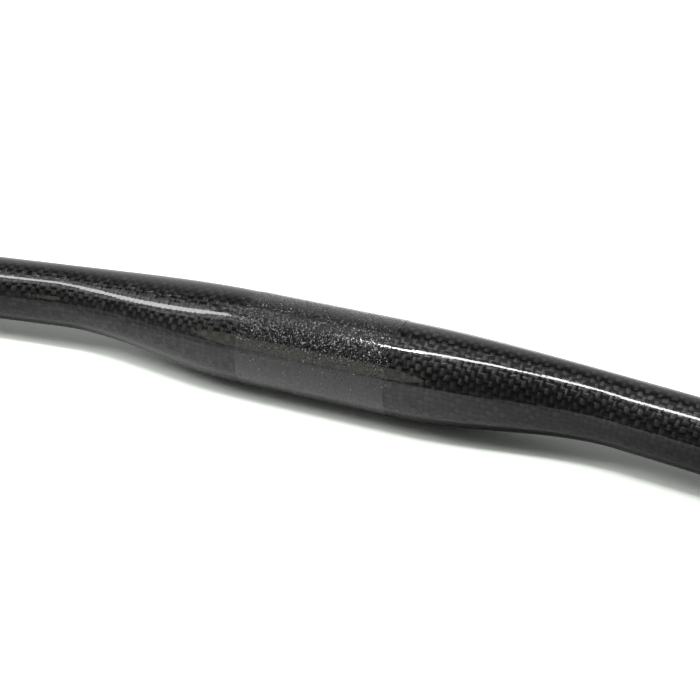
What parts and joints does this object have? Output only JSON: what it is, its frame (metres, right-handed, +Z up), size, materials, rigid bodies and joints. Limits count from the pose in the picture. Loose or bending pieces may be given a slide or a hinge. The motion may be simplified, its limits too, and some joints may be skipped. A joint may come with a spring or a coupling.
{
  "type": "flat handlebar",
  "caption": "Flat bicycle handlebar: a hollow moulded tube with a thick, rough-coated clamp middle that tapers smoothly into straight, slightly swept-back grips.",
  "frame": {"origin": "middle of the clamp cylinder, on its axis", "axes": "+X along the clamp cylinder towards the right-hand grip, +Z up with the bar lying on a table, +Y towards the front wheel, so both grips sweep back towards -Y"},
  "size_m": [0.7224, 0.055, 0.0318],
  "materials": {
    "carbon": "gloss clear coat over woven carbon fibre, with a rough grit coat on the clamp band"
  },
  "bodies": {
    "root": {"handlebar": "carbon"}
  },
  "joints": []
}
